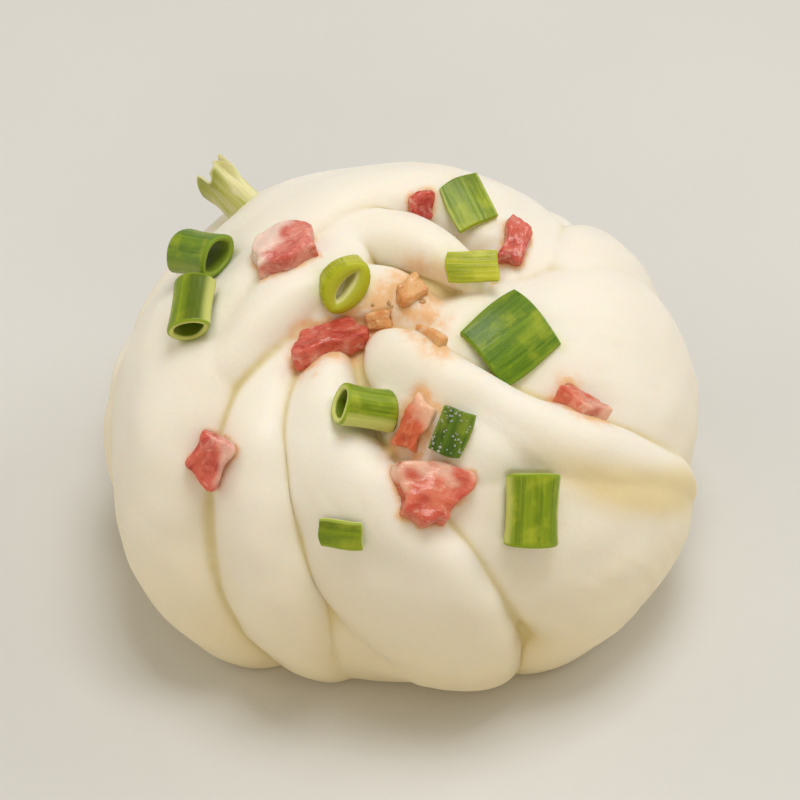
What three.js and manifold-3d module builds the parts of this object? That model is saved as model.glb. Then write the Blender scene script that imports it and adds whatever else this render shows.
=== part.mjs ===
// A steamed flower roll: a bun of twisted dough folds that spiral out of an eye near the top and tuck
// under at the foot, with pieces of scallion and ham pressed into it.
// Millimetres, +Z up. The origin is the middle of the flat foot, on the surface that the bun rests on.

import * as THREE from 'three';
import { mergeVertices } from 'three/addons/utils/BufferGeometryUtils.js';
import { RoundedBoxGeometry } from 'three/addons/geometries/RoundedBoxGeometry.js';
import Module from 'manifold-3d';

const wasm = await Module();
wasm.setup();

// ---------------------------------------------------------------- driving dimensions

const BUN_WIDTH = 79.5;        // plain dome under the folds, along X
const BUN_DEPTH = 78.5;        // along Y
const BUN_HEIGHT = 52.6;       // foot to crown of the plain dome
const EQUATOR_HEIGHT = 20;     // height of the widest level above the foot
const UNDER_DEPTH = 32;        // the dome's lower half, before the foot cuts it
const CORE_DEPTH = 4.2;        // how deep the plain core lies under the dome, so how deep a crease runs
const CORE_LOW_DEPTH = 0.5;    // the same near the foot, where the creases die out
const CORE_FADE = [80, 125];   // polar angles between which the core comes up to that depth
const FOOT_POLAR = 148;        // polar angle where every fold ends, inside the part that the foot cuts off
const FOLD_FLATNESS = 0.8;     // under 1 makes a fold's back flatter and its flanks steeper
const FOLD_LEAN = 0.3;         // how much thicker a fold is along its raised left edge
const FOLD_TIP = 0.12;         // share of a fold's length in its rounded first end
const FOLD_TAIL = 0.05;        // the same for its last end

const DICE_SINK = 1.0;         // how far a dice or ring is pressed into the dough
const TUBE_SINK = 0.5;         // the same for a tube, which stands a little higher
const LEAF_LIFT = 0.2;         // how far the middle of a leaf lies clear of it
const PIECE_GAP = 0.3;         // clearance between a piece and its pocket
const LEAF_THICKNESS = 1.0;    // wall of a scallion
const LEAF_BEND = 14;          // radius that a leaf is curved to
const LEAF_CELLS = [3, 4];     // facets along and across a leaf
const DICE_CORNER = 0.22;      // radius of a dice's corners, as a share of its shortest side
const DICE_SKEW = 0.12;        // how far out of square it is cut
const DICE_WARP = 0.1;         // how uneven its sides are
const DICE_CROWN = 0.06;       // how uneven its top is

const FOLD_ALONG = 20;         // facets along a fold
const FOLD_AROUND = 10;        // facets around a fold
const CORE_AROUND = 32;
const CORE_DOWN = 18;
const RING_AROUND = 12;
const FOOT_BLOCK = 200;        // side of the block that cuts the foot flat
const PROBE_START = 100;       // how far outside the bun a seat is looked for from
const PROBE_COUNT = 8;
const SEAT_REACH = 0.4;        // how far out from a piece's middle, as a share of its width

const DOUGH_LOOK = { color: 0xf0e6cf, roughness: 0.5, metalness: 0 };
const GREEN_LOOK = { color: 0x4f8a1c, roughness: 0.35, metalness: 0 };
const PALE_GREEN_LOOK = { color: 0xb4c653, roughness: 0.4, metalness: 0 };
const HAM_LOOK = { color: 0xc9523f, roughness: 0.4, metalness: 0 };
const PALE_HAM_LOOK = { color: 0xdb9a80, roughness: 0.45, metalness: 0 };

// ---------------------------------------------------------------- folds

// Each fold is a swept lobe. Its path is a list of [azimuth, polar angle] in degrees over the dome, azimuth
// anticlockwise from +X and polar angle from the top. Half widths and half thicknesses (mm) are spread
// evenly along the path; sink is how deep the lobe's middle lies under the dome; roll turns its left edge
// up. A fold runs on to the foot unless it is short.

const FRONT_FOLDS = [
  { // the sheet that sweeps around the back and down the left side
    path: [[0, 26], [24, 31], [50, 34], [80, 34], [108, 33], [134, 34], [156, 38], [175, 45], [190, 55],
      [201, 69], [207, 86], [211, 106], [213, 128]],
    widths: [7, 9.5, 11, 12, 12.5, 13, 14, 15, 15.5, 15, 13],
    heights: [3.5, 4.8, 5.4, 5.4, 5.6, 6, 7, 8, 8, 7, 6],
    roll: [0, 2, 4, 4],
    sink: [4.6, 3.2, 2.5, 3.1, 4.3, 4.6, 4.6],
  },
  { // the sheet's inner shoulder
    path: [[118, 22], [146, 18], [172, 19], [185, 26], [195, 38], [201, 52], [205, 67], [208, 84],
      [211, 100]],
    widths: [4, 6.5, 7.5, 8, 8.2, 8, 7, 6, 5],
    heights: [3, 4.2, 4.6, 5, 5.2, 5.2, 5, 4.6, 4],
    roll: [4, 12, 12, 8],
    sink: [4, 3.6, 3, 3, 3.2, 3.8],
    lean: 0.25,
    short: true,
  },
  { // the rolled lip over the eye
    path: [[192, 34], [178, 25], [160, 19], [134, 15], [96, 10], [40, 9], [4, 13], [350, 18]],
    widths: [3, 4.2, 4.4, 4, 3.8, 3.4, 2.2],
    heights: [2.6, 3.6, 3.8, 3.8, 3.6, 3, 2.2],
    roll: [0],
    sink: [2.8, 2.4, 2, 2],
    lean: 0,
    short: true,
  },
  { // the layer inside the lip
    path: [[210, 26], [200, 15], [225, 6], [290, 8], [308, 15]],
    widths: [3, 4.6, 4.6, 4, 2.5],
    heights: [3, 4, 4, 3.6, 2.5],
    roll: [0],
    sink: [4.4, 5, 5.4],
    lean: 0,
    short: true,
  },
  { // the first narrow fold at the front left
    path: [[214, 18], [212.5, 29], [215.5, 39], [220.5, 50], [226, 61], [233, 77], [239, 98], [243, 124]],
    widths: [2.5, 5.2, 8, 10, 10.4, 9.2, 7.5],
    heights: [3.5, 4.5, 5.2, 5.8, 6, 5, 4],
    roll: [12],
    sink: [6.4, 5.8, 5.1, 4.9, 4.9],
  },
  { // the second one, whose lip runs to the front
    path: [[233, 22], [237, 32], [243, 42], [251.5, 53], [262, 65], [272, 80], [278.5, 100], [282, 126]],
    widths: [3, 6, 8.4, 10.4, 11.2, 10.6, 10],
    heights: [3.5, 4.4, 5, 5.6, 5.6, 5, 4],
    roll: [13],
    sink: [5.4, 4.6, 4.2, 4.2, 4.2],
  },
  { // the broad lobe at the front right
    path: [[264, 36], [275, 46], [287, 56], [299, 67], [311, 79], [320, 92], [325, 108], [327, 128]],
    widths: [4, 7.5, 10.5, 12.8, 14.8, 16.5, 17, 15],
    heights: [3.5, 5.5, 6.8, 8, 9, 9, 8, 6],
    roll: [0],
    sink: [6.4, 6.4, 6, 5, 4.4],
    lean: 0,
  },
  { // the raised ridge from the eye to the right
    path: [[252, 18], [270, 24], [287, 33], [303, 45.5], [317, 61.5], [328.5, 77], [338.5, 93], [345, 112],
      [348, 134]],
    widths: [3.6, 5.8, 6.8, 7.6, 8, 7.4, 6.5],
    heights: [3.6, 4.6, 4.8, 5.2, 5.4, 5, 4],
    roll: [14],
    sink: [3.2, 3.2, 3.6, 3.8],
    lean: 0.25,
  },
  { // the slope that joins the ridge to the front lobe
    path: [[262, 28], [281, 38], [296, 47.5], [308, 57]],
    widths: [3.5, 7, 7.6, 4],
    heights: [3.2, 5, 5.4, 3.4],
    roll: [6],
    sink: [4.2],
    lean: 0,
    short: true,
  },
  { // the broad lobe on the right
    path: [[290, 8], [318, 19], [339, 33], [352, 48], [359, 66], [361, 88], [361, 112], [362, 134]],
    widths: [5, 9.5, 13, 15.5, 16, 15, 13],
    heights: [4, 5.5, 7, 8.6, 8.6, 7.6, 6],
    roll: [2],
    sink: [7.2, 7.2, 6.6, 7.8, 9.6],
    lean: 0.15,
  },
  { // the small lobe behind it
    path: [[6, 33], [15.5, 41], [22.5, 52], [27, 68], [29, 90], [30, 112], [31, 134]],
    widths: [4, 7.4, 9.4, 10.4, 10, 9, 8],
    heights: [3.5, 5.5, 7, 7.5, 7, 6, 5],
    roll: [5],
    sink: [4.6],
    lean: 0.15,
  },
];

// The folds of the far side all run down in the same way, each from beneath the one before it.
const BACK_FOLDS = [
  { from: 32, to: 64, polar: 50, halfWidth: 9.5 },
  { from: 44, to: 96, polar: 72, halfWidth: 9.5 },
  { from: 40, to: 126, polar: 60, halfWidth: 10 },
  { from: 36, to: 161, polar: 48, halfWidth: 11 },
  { from: 146, to: 186, polar: 60, halfWidth: 9.5 },
];
const BACK_POINTS = 7;
const BACK_WIDTHS = [0.42, 0.8, 1, 1, 0.85];     // shares of the half width
const BACK_HEIGHTS = [3, 5, 6.4, 6.2, 4.8];
const BACK_SINK = [6.5, 5.4, 5.2];
const BACK_ROLL = 9;
const BACK_STEEPNESS = 1.2;    // above 1, a fold turns down more and more steeply
const BACK_SWEEP_TURN = 150;   // degrees of sweep that make it steeper by 1

// ---------------------------------------------------------------- filling

// Every piece lies on the dough at [azimuth, elevation] seen from the dome's centre. A leaf is a flat piece
// of scallion, a tube a slice of one that lies down, a ring one that stands on end, and a dice is cut ham.
// nod leans a piece towards -Y, and turn is then its angle in its own plane, anticlockwise seen from
// outside with 0 along +X. lift raises it off the dough, and a slice's wall is that of a leaf unless it
// says otherwise.

const SCALLIONS = [
  { kind: 'tube', at: [170.5, 46.3], nod: 10, turn: -50, length: 8.6, radius: 3.2, squash: 0.75, lift: 0.4 },
  { kind: 'tube', at: [193, 45], nod: 0, turn: 84, length: 8, radius: 3, squash: 0.8 },
  {
    kind: 'ring', at: [199.5, 75.2], nod: 34, turn: -22,
    length: 4, radius: 4.1, squash: 0.72, wall: 1.9, pale: true,
  },
  { kind: 'leaf', at: [53, 64], nod: 0, turn: -66, length: 7.6, width: 6.2 },
  { kind: 'leaf', at: [354, 73], nod: 10, turn: 4, length: 7.2, width: 4.4, pale: true },
  { kind: 'leaf', at: [327, 56.5], nod: 0, turn: 42, length: 11, width: 10.3 },
  { kind: 'tube', at: [255.5, 46.5], nod: 0, turn: 12, length: 7.6, radius: 2.9, squash: 0.85, lift: 0.6 },
  { kind: 'leaf', at: [285, 43], nod: 0, turn: 70, length: 6.4, width: 4.6 },
  { kind: 'tube', at: [299, 24.2], nod: 0, turn: 88, length: 9.4, radius: 3.8, squash: 0.55 },
  { kind: 'leaf', at: [258, 24], nod: 0, turn: 5, length: 6.2, width: 4 },
  { kind: 'ring', at: [133, 32.5], nod: 0, turn: 30, length: 8, radius: 3.9, squash: 0.62, pale: true },
  { kind: 'leaf', at: [108, 16], nod: 0, turn: 30, length: 9, width: 6.5 },
  { kind: 'tube', at: [66, 2], nod: 0, turn: 65, length: 8, radius: 2.9, squash: 0.8 },
  { kind: 'leaf', at: [30, -4], nod: 0, turn: 60, length: 8, width: 6 },
];
const HAM = [
  { at: [176, 64.2], nod: 0, turn: 20, size: [8.8, 7, 4.2], taper: -0.12, pale: true },
  { at: [75.5, 68.7], nod: 0, turn: 10, size: [3.6, 4.2, 3] },
  { at: [23, 59.5], nod: 0, turn: 74, size: [7.2, 3.7, 3.4], taper: 0.15 },
  { at: [286, 81], nod: 0, turn: 40, size: [4.8, 3.6, 3], pale: true },
  { at: [229.5, 61.5], nod: 0, turn: 16, size: [10, 5.3, 3.8], taper: -0.1 },
  { at: [286, 65], nod: 0, turn: -35, size: [5, 2.2, 2.4], pale: true },
  { at: [325, 35.5], nod: 0, turn: -28, size: [7.2, 4.4, 3.2], taper: 0.2 },
  { at: [275, 45.8], nod: 0, turn: 62, size: [8, 3.8, 3.2], taper: 0.12, pale: true },
  { at: [276.5, 31], nod: 0, turn: -6, size: [9.4, 8.6, 4.4], taper: 0.32 },
  { at: [223, 27.5], nod: 0, turn: 60, size: [6.8, 5.2, 4] },
  { at: [140, 0], nod: 0, turn: 25, size: [6.6, 5.4, 4] },
  { at: [84, 14], nod: 0, turn: 70, size: [6, 4.6, 3.6], pale: true },
  { at: [46, 0], nod: 0, turn: 15, size: [7, 5, 4] },
  { at: [250, 74.6], nod: 0, turn: 12, size: [4, 2.6, 2.6], pale: true },
];

// ---------------------------------------------------------------- helpers

const radians = THREE.MathUtils.degToRad;
const DOME_CENTRE = new THREE.Vector3(0, 0, EQUATOR_HEIGHT);

function direction(azimuth, polar) {
  const flat = Math.sin(radians(polar));
  const x = flat * Math.cos(radians(azimuth));
  const y = flat * Math.sin(radians(azimuth));
  return new THREE.Vector3(x, y, Math.cos(radians(polar)));
}

// The point some way under the plain dome's surface in a direction, and the dome's normal there.
function onDome(towards, depth) {
  const unit = towards.clone().normalize();
  const halfHeight = unit.z > 0 ? BUN_HEIGHT - EQUATOR_HEIGHT : UNDER_DEPTH;
  const half = new THREE.Vector3(BUN_WIDTH / 2, BUN_DEPTH / 2, halfHeight);
  const normal = unit.clone().divide(half).normalize();
  const point = unit.multiply(half).add(DOME_CENTRE).addScaledVector(normal, -depth);
  return { point, normal };
}

// A smooth run through evenly spaced numbers, at t from 0 to 1.
function spread(values, t) {
  if (values.length === 1) return values[0];
  const reach = t * (values.length - 1);
  const i = Math.min(Math.floor(reach), values.length - 2);
  const f = reach - i;
  const [a, b] = [values[i], values[i + 1]];
  const before = values[i - 1] ?? 2 * a - b;
  const after = values[i + 2] ?? 2 * b - a;
  return 0.5 * (2 * a + (b - before) * f + (2 * before - 5 * a + 4 * b - after) * f ** 2
    + (3 * a - before - 3 * b + after) * f ** 3);
}

function closedSolid(geometry) {
  const bare = geometry.clone();
  bare.deleteAttribute('normal');
  bare.deleteAttribute('uv');
  const merged = mergeVertices(bare);
  return new wasm.Manifold(new wasm.Mesh({
    numProp: 3,
    vertProperties: new Float32Array(merged.attributes.position.array),
    triVerts: new Uint32Array(merged.index.array),
  }));
}

function geometryOf(solid) {
  const { vertProperties, triVerts } = solid.getMesh();
  const geometry = new THREE.BufferGeometry();
  geometry.setAttribute('position', new THREE.BufferAttribute(new Float32Array(vertProperties), 3));
  geometry.setIndex(new THREE.BufferAttribute(new Uint32Array(triVerts), 1));
  geometry.computeVertexNormals();
  return geometry;
}

function moveVertices(geometry, place) {
  const position = geometry.attributes.position;
  const vertex = new THREE.Vector3();
  for (let i = 0; i < position.count; i += 1) {
    vertex.fromBufferAttribute(position, i);
    const moved = place(vertex, i);
    position.setXYZ(i, moved.x, moved.y, moved.z);
  }
  return geometry;
}

// ---------------------------------------------------------------- dough

// The middle of a fold at t along its path, with the directions of its left edge and of its back.
function foldFrame(fold, guide, t) {
  const step = 0.5 / FOLD_ALONG;
  const depth = spread(fold.sink, t);
  const { point, normal } = onDome(guide.getPoint(t), depth);
  const ahead = onDome(guide.getPoint(Math.min(t + step, 1)), depth).point;
  const behind = onDome(guide.getPoint(Math.max(t - step, 0)), depth).point;
  const tangent = ahead.sub(behind).normalize();
  const left = normal.clone().cross(tangent).normalize();
  const back = tangent.clone().cross(left);
  const roll = radians(spread(fold.roll, t));
  return {
    point,
    left: left.clone().multiplyScalar(Math.cos(roll)).addScaledVector(back, Math.sin(roll)),
    back: back.clone().multiplyScalar(Math.cos(roll)).addScaledVector(left, -Math.sin(roll)),
  };
}

// A sphere whose poles are the fold's two ends, bent along the fold's path.
function foldSolid(fold) {
  const { path, widths, heights, lean = FOLD_LEAN, short = false } = fold;
  const ends = short ? path : [...path, [path.at(-1)[0] + 1, FOOT_POLAR]];
  const guide = new THREE.CatmullRomCurve3(ends.map(([azimuth, polar]) => direction(azimuth, polar)));
  guide.curveType = 'catmullrom';
  const sphere = new THREE.SphereGeometry(1, FOLD_AROUND, FOLD_ALONG);
  moveVertices(sphere, (vertex, i) => {
    const t = Math.floor(i / (FOLD_AROUND + 1)) / FOLD_ALONG;
    const ring = Math.hypot(vertex.x, vertex.z) || 1;
    const across = vertex.x / ring;
    const up = Math.sign(vertex.z) * Math.abs(vertex.z / ring) ** FOLD_FLATNESS;
    const nearEnd = Math.max(0, 1 - Math.min(t / FOLD_TIP, (1 - t) / FOLD_TAIL));
    const taper = Math.sqrt(1 - nearEnd ** 2);
    const { point, left, back } = foldFrame(fold, guide, t);
    return point.addScaledVector(left, across * spread(widths, t) * taper)
      .addScaledVector(back, up * spread(heights, t) * taper * (1 + lean * across));
  });
  return closedSolid(sphere);
}

// A fold of the far side: it sets out sideways and turns down more and more steeply.
function backFold({ from, to, polar, halfWidth }) {
  const sweep = to - from;
  const steepness = BACK_STEEPNESS + sweep / BACK_SWEEP_TURN;
  const path = [];
  for (let i = 0; i < BACK_POINTS; i += 1) {
    const t = i / BACK_POINTS;
    path.push([from + sweep * Math.sin(t * Math.PI / 2), polar + (FOOT_POLAR - polar) * t ** steepness]);
  }
  return {
    path,
    widths: BACK_WIDTHS.map((share) => share * halfWidth),
    heights: BACK_HEIGHTS,
    roll: [BACK_ROLL],
    sink: BACK_SINK,
  };
}

function coreSolid() {
  const sphere = new THREE.SphereGeometry(1, CORE_AROUND, CORE_DOWN).rotateX(Math.PI / 2);
  moveVertices(sphere, (unit) => {
    const polar = THREE.MathUtils.radToDeg(Math.acos(THREE.MathUtils.clamp(unit.z, -1, 1)));
    const fade = THREE.MathUtils.smoothstep(polar, ...CORE_FADE);
    return onDome(unit, THREE.MathUtils.lerp(CORE_DEPTH, CORE_LOW_DEPTH, fade)).point;
  });
  return closedSolid(sphere);
}

function doughSolid() {
  let dough = coreSolid();
  for (const fold of [...FRONT_FOLDS, ...BACK_FOLDS.map(backFold)]) dough = dough.add(foldSolid(fold));
  const block = new THREE.BoxGeometry(FOOT_BLOCK, FOOT_BLOCK, FOOT_BLOCK).translate(0, 0, -FOOT_BLOCK / 2);
  return dough.subtract(closedSolid(block));
}

// ---------------------------------------------------------------- pieces of filling

// A flat piece of scallion, curved across its length like the wall that it was cut from.
function leaf({ length, width }, grow) {
  const sides = [length, width, LEAF_THICKNESS].map((side) => side + 2 * grow);
  const flat = new THREE.BoxGeometry(...sides, ...LEAF_CELLS, 1);
  return moveVertices(flat, ({ x, y, z }) => {
    const angle = y / LEAF_BEND;
    const radius = LEAF_BEND + z;
    return new THREE.Vector3(x, radius * Math.sin(angle), radius * Math.cos(angle) - LEAF_BEND);
  }).translate(0, 0, LEAF_THICKNESS);
}

// A slice of scallion along +X, pressed a little flat. A grown one has no hole.
function slice({ length, radius, squash, wall = LEAF_THICKNESS }, grow) {
  const outer = radius + grow;
  const inner = grow > 0 ? 0 : radius - wall;
  const half = length / 2 + grow;
  const profile = [[inner, -half], [outer, -half], [outer, half], [inner, half]];
  if (grow === 0) profile.push([inner, -half]);
  const points = profile.map(([x, y]) => new THREE.Vector2(x, y));
  return new THREE.LatheGeometry(points, RING_AROUND).rotateZ(-Math.PI / 2).scale(1, 1, squash);
}

function tube(piece, grow) {
  return slice(piece, grow).translate(0, 0, piece.radius * piece.squash);
}

// The same slice on its end, with its mouth up.
function ring(piece, grow) {
  return slice(piece, grow).rotateY(-Math.PI / 2).translate(0, 0, piece.length / 2);
}

// A dice of ham with soft corners, cut a little out of square. Its far end can be wider than the near one.
function dice({ size, at, taper = 0 }, grow) {
  const [length, width, height] = size.map((side) => side + 2 * grow);
  const box = new RoundedBoxGeometry(length, width, height, 1, Math.min(...size) * DICE_CORNER);
  const phase = at[0];
  return moveVertices(box, ({ x, y, z }) => new THREE.Vector3(
    x * (1 + DICE_WARP * Math.sin(y + phase) + (taper * y) / (width / 2)) + DICE_SKEW * y,
    y * (1 + DICE_WARP * Math.cos(x + phase)),
    z * (1 - DICE_CROWN * Math.sin(x - y + phase)),
  )).translate(0, 0, size[2] / 2);
}

const SHAPES = { leaf, tube, ring, dice };
const REST_HEIGHTS = { leaf: LEAF_LIFT, tube: -TUBE_SINK };

// Where a piece lies: the middle and the plane of the dough under it.
function seatOn(surface, [azimuth, elevation], reach) {
  const outward = direction(azimuth, 90 - elevation);
  const across = new THREE.Vector3(0, 0, 1).cross(outward).normalize();
  const upward = outward.clone().cross(across);
  const caster = new THREE.Raycaster();
  const hits = [];
  for (let i = 0; i < PROBE_COUNT; i += 1) {
    const angle = (2 * Math.PI * i) / PROBE_COUNT;
    const start = DOME_CENTRE.clone().addScaledVector(outward, PROBE_START)
      .addScaledVector(across, reach * Math.cos(angle)).addScaledVector(upward, reach * Math.sin(angle));
    caster.set(start, outward.clone().negate());
    hits.push(caster.intersectObject(surface)[0].point);
  }
  const middle = hits.reduce((sum, hit) => sum.add(hit), new THREE.Vector3()).divideScalar(PROBE_COUNT);
  const normal = new THREE.Vector3();
  hits.forEach((hit, i) => {
    const next = hits[(i + 1) % PROBE_COUNT];
    normal.add(hit.clone().sub(middle).cross(next.clone().sub(middle)));
  });
  return { middle, normal: normal.normalize() };
}

function pieceMesh(surface, piece, name, look) {
  const { kind = 'dice', size, length, width, radius, lift = 0 } = piece;
  const [side, otherSide] = size ?? [length, width ?? 2 * radius];
  const { middle, normal } = seatOn(surface, piece.at, Math.min(side, otherSide) * SEAT_REACH);
  const right = new THREE.Vector3(1, 0, 0).addScaledVector(normal, -normal.x).normalize();
  const away = normal.clone().cross(right);
  const mesh = new THREE.Mesh(SHAPES[kind](piece, 0), new THREE.MeshStandardMaterial(look));
  mesh.name = name;
  mesh.position.copy(middle).addScaledVector(normal, (REST_HEIGHTS[kind] ?? -DICE_SINK) + lift);
  mesh.quaternion.setFromRotationMatrix(new THREE.Matrix4().makeBasis(right, away, normal));
  mesh.rotateX(radians(piece.nod));
  mesh.rotateZ(radians(piece.turn));
  mesh.updateMatrix();
  return mesh;
}

// ---------------------------------------------------------------- assembly

const bun = new THREE.Group();
const plainDough = doughSolid();
const surface = new THREE.Mesh(geometryOf(plainDough));
let dough = plainDough;

function press(piece, name, look) {
  const mesh = pieceMesh(surface, piece, name, look);
  const pocket = SHAPES[piece.kind ?? 'dice'](piece, PIECE_GAP).applyMatrix4(mesh.matrix);
  dough = dough.subtract(closedSolid(pocket));
  bun.add(mesh);
}

SCALLIONS.forEach((piece, i) => press(piece, `scallion_${i + 1}`, piece.pale ? PALE_GREEN_LOOK : GREEN_LOOK));
HAM.forEach((piece, i) => press(piece, `ham_${i + 1}`, piece.pale ? PALE_HAM_LOOK : HAM_LOOK));

const doughMesh = new THREE.Mesh(geometryOf(dough), new THREE.MeshStandardMaterial(DOUGH_LOOK));
doughMesh.name = 'dough';
bun.add(doughMesh);

export default bun;
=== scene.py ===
import math
from itertools import product

import bpy
import numpy as np
from mathutils import Matrix, Vector
from mathutils.bvhtree import BVHTree
from mathutils.kdtree import KDTree


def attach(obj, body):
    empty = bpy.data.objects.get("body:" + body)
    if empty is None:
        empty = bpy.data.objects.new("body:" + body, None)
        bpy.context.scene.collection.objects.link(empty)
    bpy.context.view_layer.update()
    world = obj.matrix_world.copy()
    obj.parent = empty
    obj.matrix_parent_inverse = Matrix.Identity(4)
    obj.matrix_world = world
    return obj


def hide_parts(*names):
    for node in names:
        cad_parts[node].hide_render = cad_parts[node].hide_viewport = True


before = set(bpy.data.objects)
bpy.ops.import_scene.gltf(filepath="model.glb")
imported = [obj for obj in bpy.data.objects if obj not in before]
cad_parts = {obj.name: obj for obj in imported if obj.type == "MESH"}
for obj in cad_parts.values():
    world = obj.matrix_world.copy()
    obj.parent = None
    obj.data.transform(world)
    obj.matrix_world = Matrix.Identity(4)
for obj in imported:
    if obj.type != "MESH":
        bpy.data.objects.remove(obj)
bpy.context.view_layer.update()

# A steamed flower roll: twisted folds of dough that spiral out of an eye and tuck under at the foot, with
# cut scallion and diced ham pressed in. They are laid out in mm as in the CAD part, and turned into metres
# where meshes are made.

MM = 0.001
scene = bpy.context.scene

# ------------ driving dimensions (mm, degrees)

BUN_WIDTH, BUN_DEPTH, BUN_HEIGHT = 79.5, 78.5, 52.6  # plain dome under the folds
EQUATOR_HEIGHT = 20.0  # height of its widest level above the foot
UNDER_DEPTH = 32.0  # its lower half, before the foot cuts it
CORE_DEPTH = 4.2  # how deep the core lies under the dome, so how deep a crease runs
CORE_LOW_DEPTH = 0.5  # the same near the foot, where the creases die out
CORE_FADE = (80.0, 125.0)  # polar angles between which it comes up to that
FOOT_POLAR = 148.0  # where a fold that isn't short ends, below the foot
FOLD_FLATNESS = 0.8  # under 1 makes a fold's back flatter and its flanks steeper
FOLD_LEAN = 0.3  # how much thicker a fold is along its raised left edge
FOLD_TIP, FOLD_TAIL = 0.12, 0.05  # shares of a fold's length in its rounded ends
DICE_SINK = 1.0  # how far a dice or ring is pressed into the dough
TUBE_SINK = 0.5  # the same for a tube
LEAF_LIFT = 0.2  # a leaf's middle stands this and half its thickness clear
LEAF_THICKNESS = 1.0  # wall of a scallion
LEAF_BEND = 14.0  # radius that a leaf is curved to
PROBE_START, PROBE_COUNT = 100.0, 8  # the rays that feel for a seat
SEAT_REACH = 0.4  # how far out from a piece's middle, as a share of its width

FOLD_ALONG, FOLD_AROUND = 150, 56  # facets along and around a fold
CORE_AROUND, CORE_DOWN = 128, 72
VOXEL = 0.46  # cell of the remesh that joins the folds
SMOOTH_ROUNDS = 4
SKIN = 0.55  # the folds are laid out this much thinner, smoothed, and swollen back
HEADING_ROUNDS = 3  # so that a crease's walls don't cross as they swell
EASE_ROUNDS = 2  # further smoothing of a crease's floor
PLACE_ROUNDS = 3  # smoothing of the places along and across the folds
FOOT_EDGE = 0.9  # height of the soft edge around the foot
MENISCUS, MENISCUS_REACH = 0.28, 0.55  # how far the dough has risen around a piece
TUBE_PRESS = 0.4  # how far it is pressed in under a hollow slice

# ------------ folds

# path: (azimuth, polar angle) over the dome, azimuth anticlockwise from +X. widths and heights: half sizes
# spread along it. sink: how deep the middle lies under the dome. roll: how far the left edge is turned up.
# short: ends before the foot.

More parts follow.
